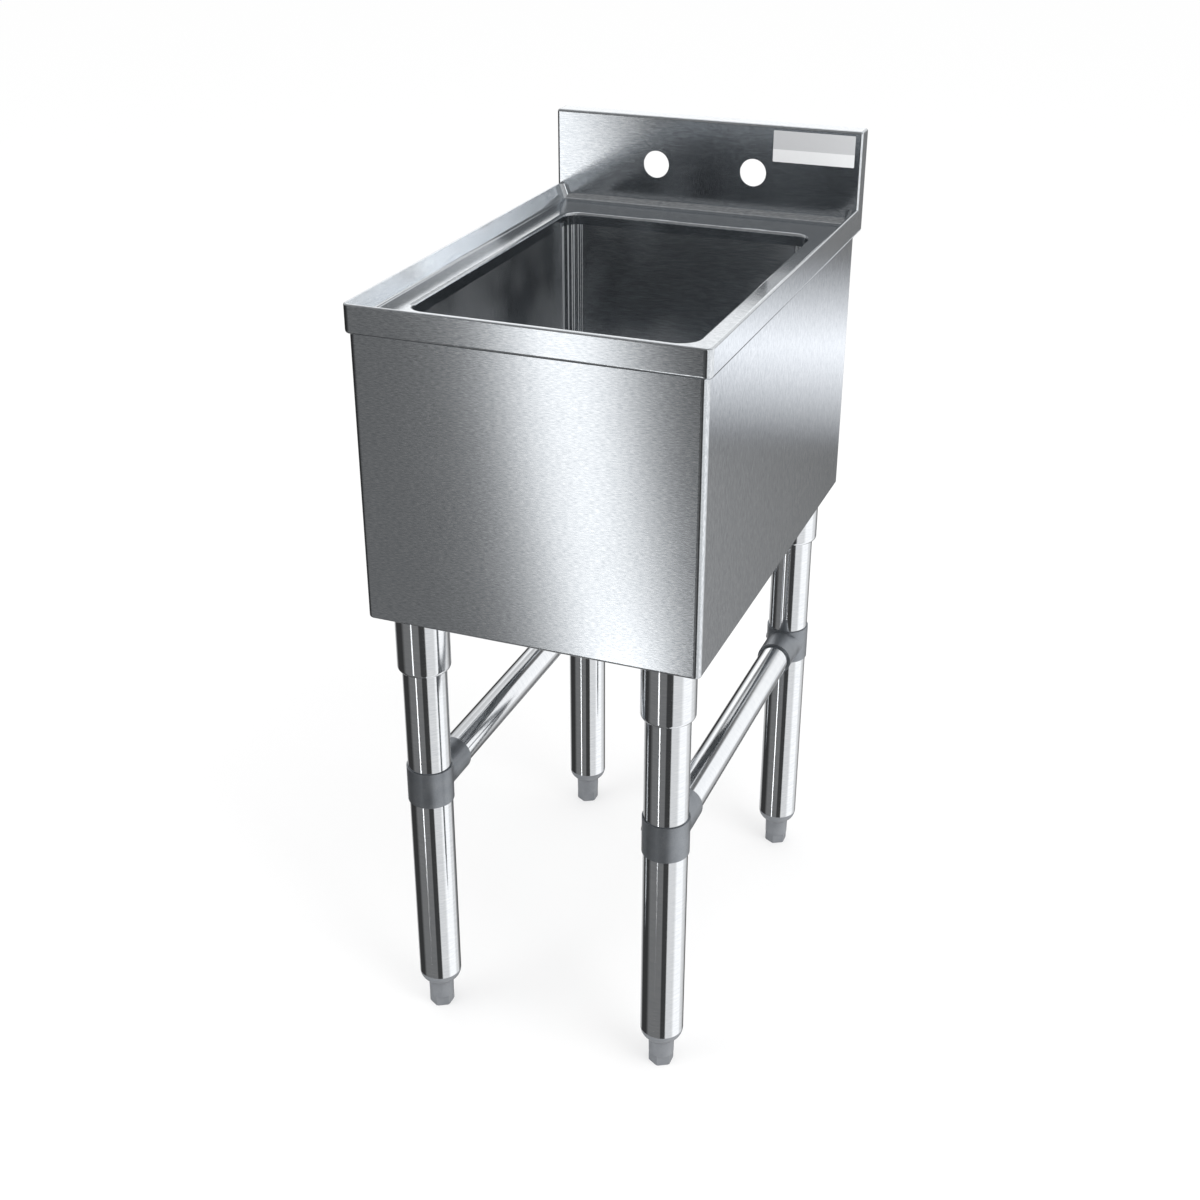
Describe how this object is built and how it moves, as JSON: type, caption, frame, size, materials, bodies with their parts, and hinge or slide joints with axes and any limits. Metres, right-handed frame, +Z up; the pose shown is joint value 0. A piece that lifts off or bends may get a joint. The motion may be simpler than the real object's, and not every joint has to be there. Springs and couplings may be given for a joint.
{
  "type": "underbar dump sink",
  "caption": "Narrow free-standing stainless sink with one deep bowl, raised rim, coved splash with tap holes, skirt, braced tube legs and screw feet.",
  "frame": {"origin": "on the floor, under the middle of the sink's footprint", "axes": "+X to the right-hand side, +Y to the wall, +Z up"},
  "size_m": [0.3174, 0.4762, 0.8105],
  "materials": {
    "deck_steel": "brushed lengthwise",
    "bowl_steel": "brushed, polished in the corners",
    "skirt_steel": "brushed horizontally",
    "channel_steel": "mill finish",
    "tube_steel": "polished, with faint rings",
    "cast_grey": "matte cast",
    "screw_steel": "plain",
    "foot_grey": "moulded, matte",
    "drain_chrome": "plated",
    "black_rubber": "matte",
    "washer_fibre": "matte",
    "strainer_steel": "pressed and polished"
  },
  "bodies": {
    "sink": {"top_deck": "deck_steel", "bowl": "bowl_steel", "apron": "skirt_steel", "front_leg_channel": "channel_steel", "rear_leg_channel": "channel_steel", "leg_socket_fl": "tube_steel", "leg_socket_fr": "tube_steel", "leg_socket_rl": "tube_steel", "leg_socket_rr": "tube_steel", "leg_fl": "tube_steel", "leg_fr": "tube_steel", "leg_rl": "tube_steel", "leg_rr": "tube_steel", "brace_tee_fl": "cast_grey", "brace_tee_fr": "cast_grey", "brace_tee_rl": "cast_grey", "brace_tee_rr": "cast_grey", "side_brace_left": "tube_steel", "side_brace_right": "tube_steel", "socket_screws": "screw_steel", "tee_screws": "screw_steel", "foot_insert_fl": "foot_grey", "foot_insert_fr": "foot_grey", "foot_insert_rl": "foot_grey", "foot_insert_rr": "foot_grey", "drain_body": "drain_chrome", "drain_gasket": "black_rubber", "under_washer": "black_rubber", "friction_washer": "washer_fibre", "drain_locknut": "drain_chrome", "tailpiece": "drain_chrome", "tailpiece_washer": "black_rubber", "slip_nut": "drain_chrome"},
    "foot_fl": {"levelling_foot_fl": "foot_grey"},
    "foot_fr": {"levelling_foot_fr": "foot_grey"},
    "foot_rl": {"levelling_foot_rl": "foot_grey"},
    "foot_rr": {"levelling_foot_rr": "foot_grey"},
    "strainer": {"strainer_basket": "strainer_steel", "strainer_knob": "strainer_steel"}
  },
  "joints": [
    {"name": "foot_fl_screw", "type": "slide", "parent": "sink", "child": "foot_fl", "axis": [0, 0, -1], "range_m": [0, 0.025]},
    {"name": "foot_fr_screw", "type": "slide", "parent": "sink", "child": "foot_fr", "axis": [0, 0, -1], "range_m": [0, 0.025]},
    {"name": "foot_rl_screw", "type": "slide", "parent": "sink", "child": "foot_rl", "axis": [0, 0, -1], "range_m": [0, 0.025]},
    {"name": "foot_rr_screw", "type": "slide", "parent": "sink", "child": "foot_rr", "axis": [0, 0, -1], "range_m": [0, 0.025]},
    {"name": "strainer_lift", "type": "slide", "parent": "sink", "child": "strainer", "axis": [0, 0, 1], "range_m": [0, 0.06]}
  ]
}
